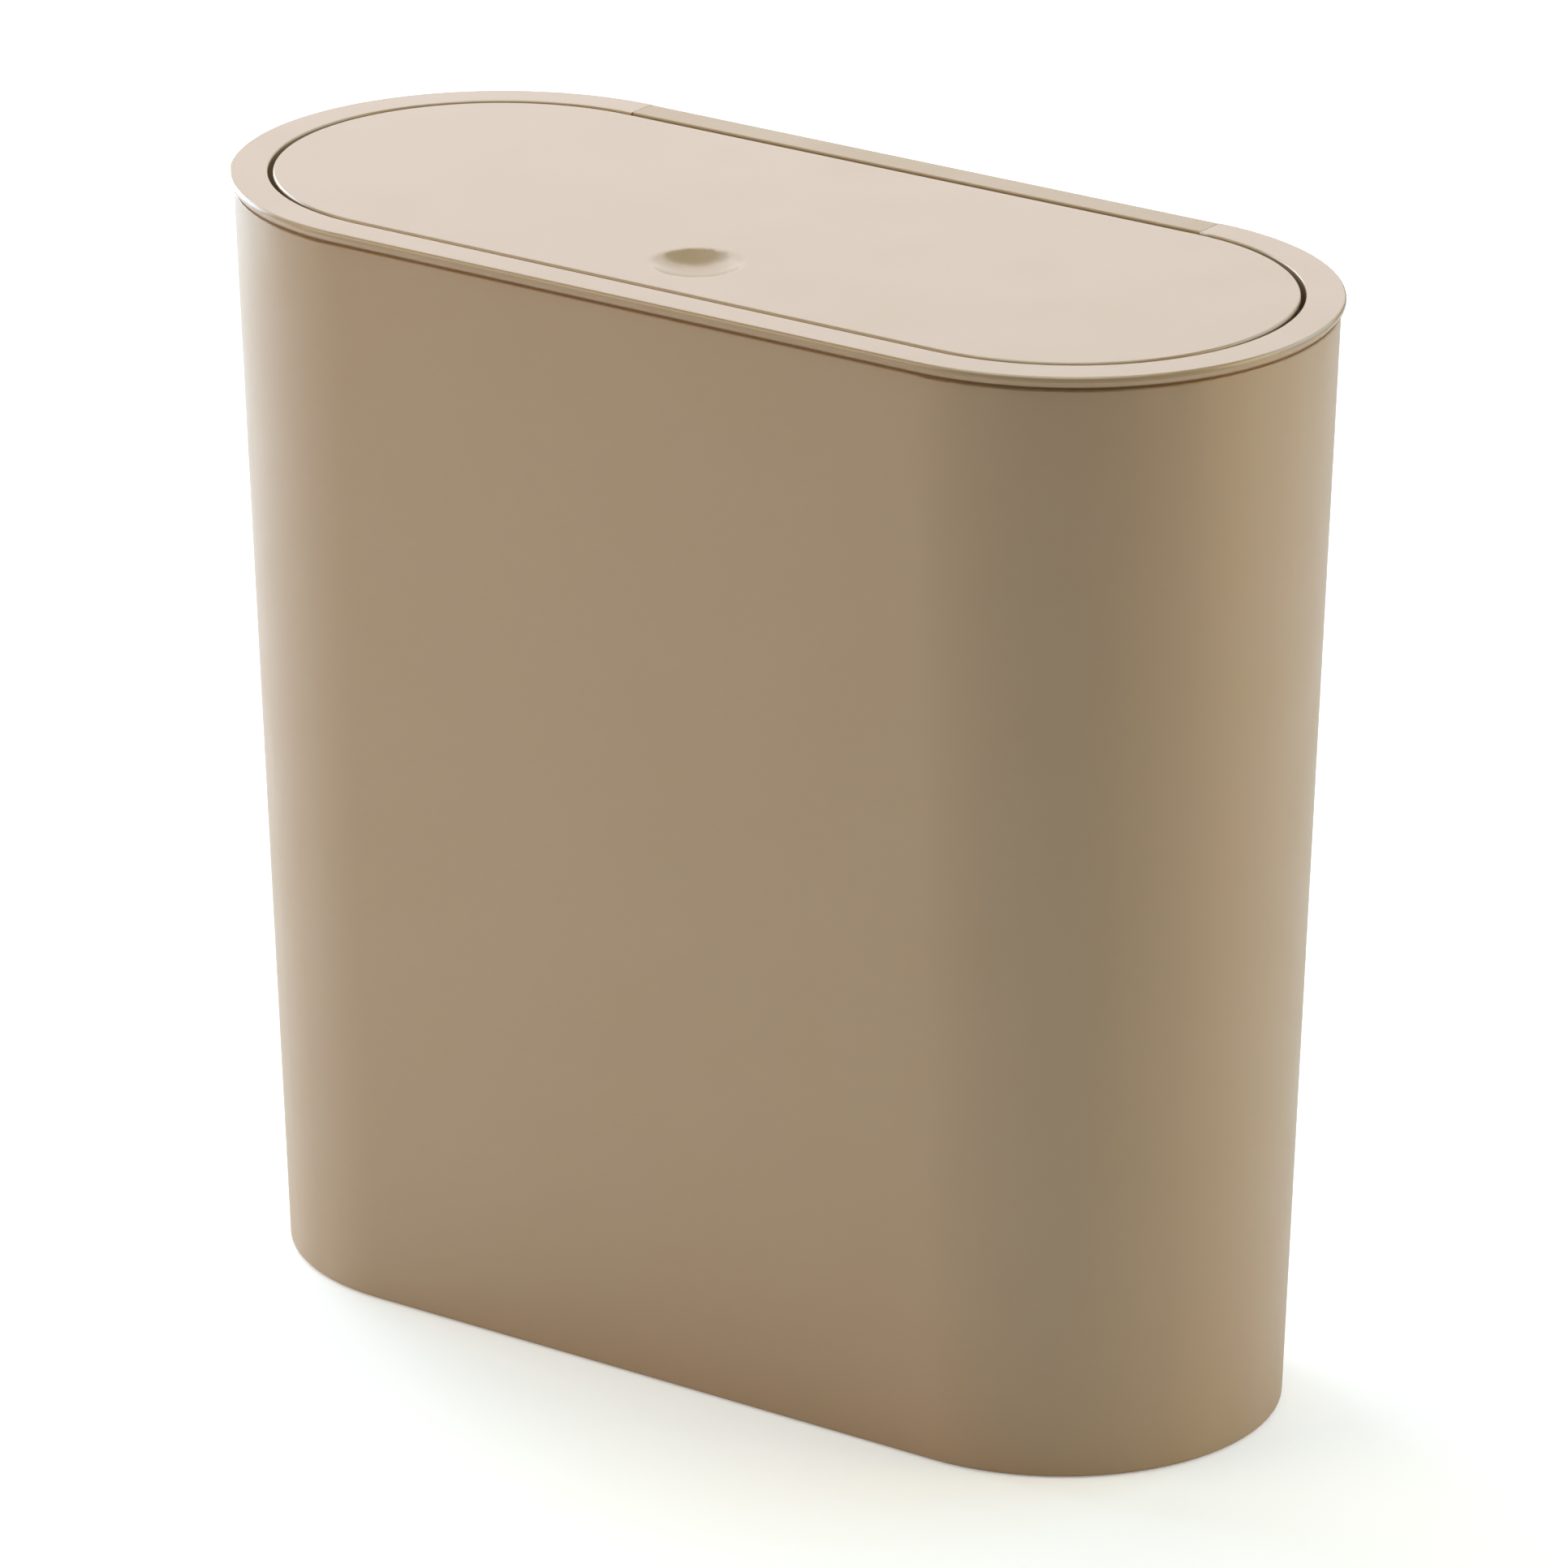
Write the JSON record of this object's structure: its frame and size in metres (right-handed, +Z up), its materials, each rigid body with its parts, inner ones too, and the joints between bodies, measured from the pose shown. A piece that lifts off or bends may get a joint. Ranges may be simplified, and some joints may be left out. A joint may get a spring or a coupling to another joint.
{
  "type": "push top bin",
  "caption": "Slim oval kitchen bin: tapered tub, separate top ring and a flush lid that a press on its finger dimple unlatches, so that sprung hinges swing it open.",
  "frame": {"origin": "middle of the oval foot, on the plane it stands on", "axes": "+X along the bin's length, -Y to the front where the finger dimple is, +Y to the hinge, +Z up"},
  "size_m": [0.319, 0.139, 0.3],
  "materials": {
    "tub_plastic": "warm beige moulded plastic, satin outside",
    "top_plastic": "warm beige moulded plastic, fine satin texture",
    "liner_plastic": "warm beige moulded plastic, plain satin",
    "latch_plastic": "natural off-white acetal, waxy satin",
    "spring_steel": "drawn spring wire, lightly oiled",
    "pin_steel": "ground steel rod",
    "screw_steel": "bright zinc-plated steel",
    "pad_rubber": "soft matt elastomer"
  },
  "bodies": {
    "bin": {"tub": "tub_plastic", "lid_frame": "top_plastic", "hinge_cover": "top_plastic", "cover_screws": "screw_steel", "closing_pads": "pad_rubber", "latch_case": "latch_plastic", "latch_cover": "latch_plastic", "latch_screws": "screw_steel", "latch_spring": "spring_steel", "torsion_spring_left": "spring_steel", "torsion_spring_right": "spring_steel"},
    "hinge_pins": {"hinge_pin_left": "pin_steel", "hinge_pin_right": "pin_steel"},
    "lid": {"lid_panel": "top_plastic", "lid_liner": "liner_plastic", "lid_screws": "screw_steel", "latch_striker": "latch_plastic", "striker_screws": "screw_steel"},
    "slider": {"latch_slider": "latch_plastic", "latch_claws": "latch_plastic"},
    "cam_pin": {"latch_cam_pin": "spring_steel"}
  },
  "joints": [
    {"name": "lid_press", "type": "hinge", "parent": "bin", "child": "hinge_pins", "pos_m": [0, 0.0622, 0.2963], "axis": [1, 0, 0], "range_deg": [0, 1.29], "stiffness_Nm_per_rad": 7, "springref_deg": -1.15, "deforming": ["latch_claws"]},
    {"name": "lid_open", "type": "hinge", "parent": "hinge_pins", "child": "lid", "pos_m": [0, 0.0622, 0.2963], "axis": [-1, 0, 0], "range_deg": [0, 90], "deforming": ["torsion_spring_left", "torsion_spring_right"]},
    {"name": "latch_slide", "type": "slide", "parent": "bin", "child": "slider", "axis": [0, 0, -1], "range_m": [0, 0.00251], "deforming": ["latch_spring"]},
    {"name": "cam_pin_swing", "type": "hinge", "parent": "bin", "child": "cam_pin", "pos_m": [0, -0.0451, 0.258], "axis": [0, 1, 0], "range_deg": [0, 4]}
  ],
  "couplings": [
    {"joint": "latch_slide", "follows": "lid_press", "m_per_rad": 0.1112},
    {"joint": "cam_pin_swing", "follows": "lid_press", "ratio": 3.07}
  ]
}
